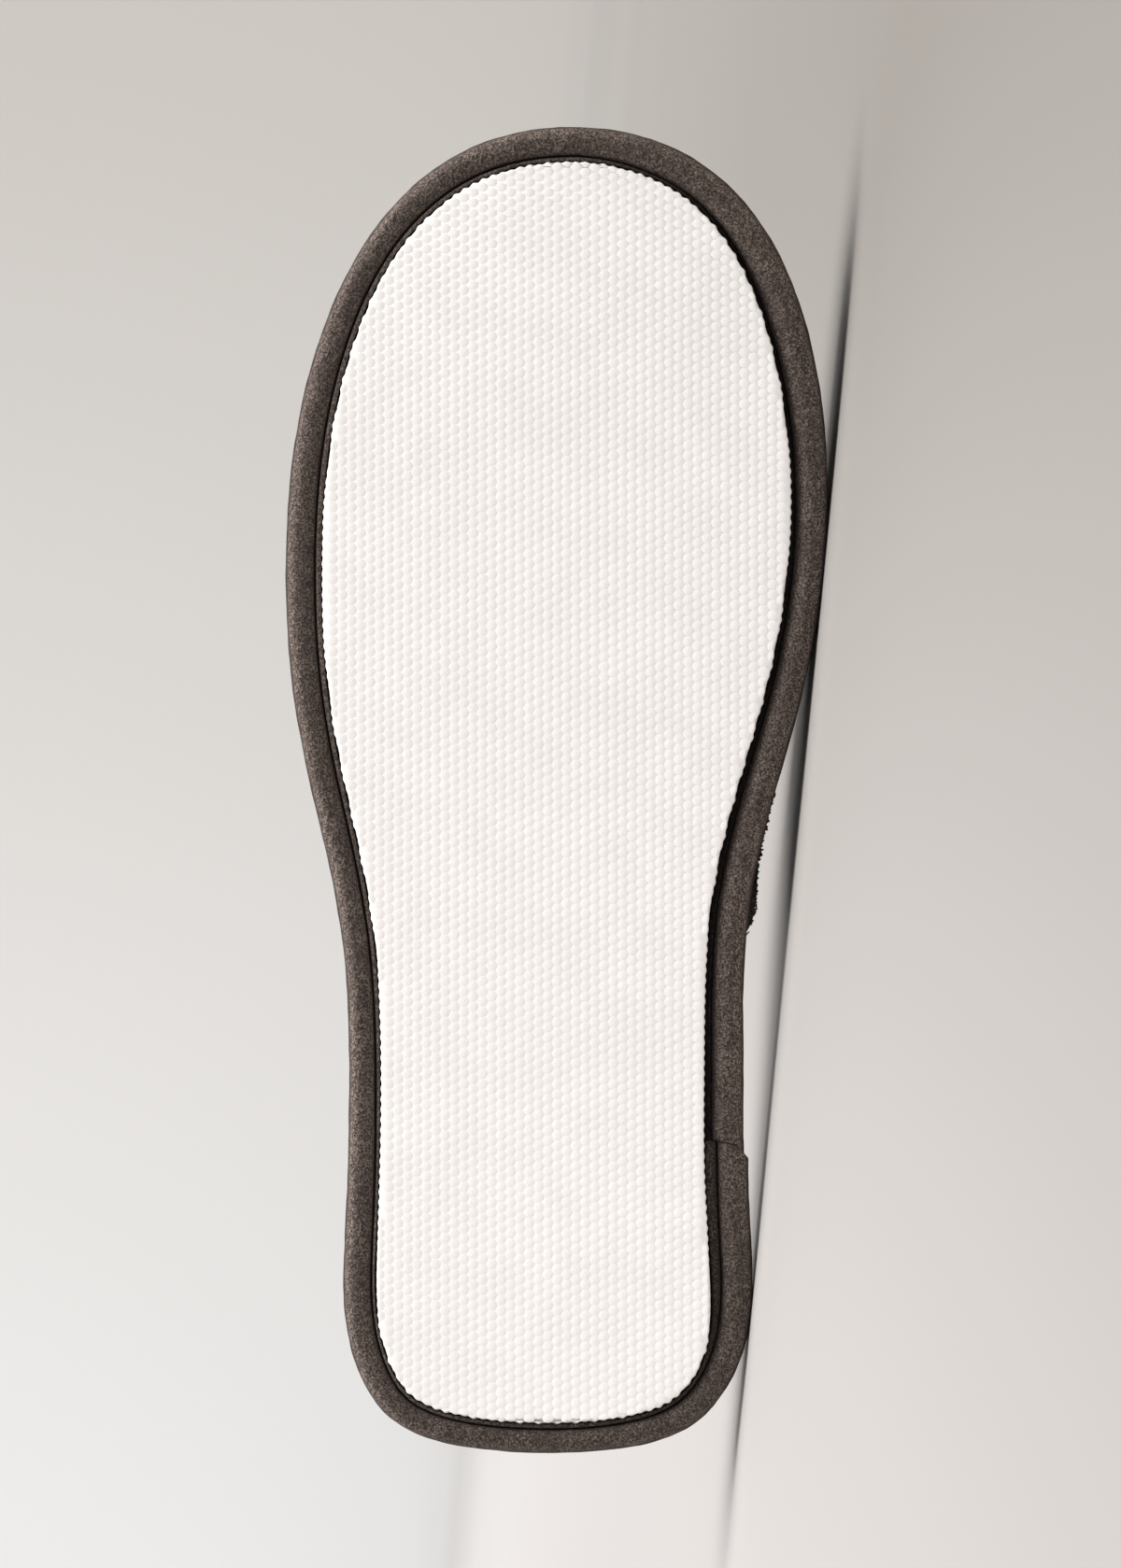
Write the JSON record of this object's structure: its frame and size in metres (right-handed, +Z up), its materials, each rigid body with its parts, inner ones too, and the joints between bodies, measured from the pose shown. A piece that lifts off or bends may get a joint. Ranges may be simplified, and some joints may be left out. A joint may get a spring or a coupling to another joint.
{
  "type": "terry slipper",
  "caption": "Right backless terry slipper lying on its inner side: hollow closed-toe vamp, padded footbed and a cloth-rolled platform round a pale dotted sole.",
  "frame": {"origin": "on the floor, under the middle of the bounding box, with the slipper lying on its inner side", "axes": "+X from the heel towards the toe, +Y from the tread towards the instep, within 2 degrees, and +Z up, towards the outer side of the foot"},
  "size_m": [0.27, 0.0644, 0.1097],
  "materials": {
    "sole_foam": "matte",
    "border_cloth": "matte",
    "terry": "matte"
  },
  "bodies": {
    "root": {"outsole": "sole_foam", "midsole": "border_cloth", "insole": "terry", "upper": "terry", "topline_binding": "border_cloth"}
  },
  "joints": []
}
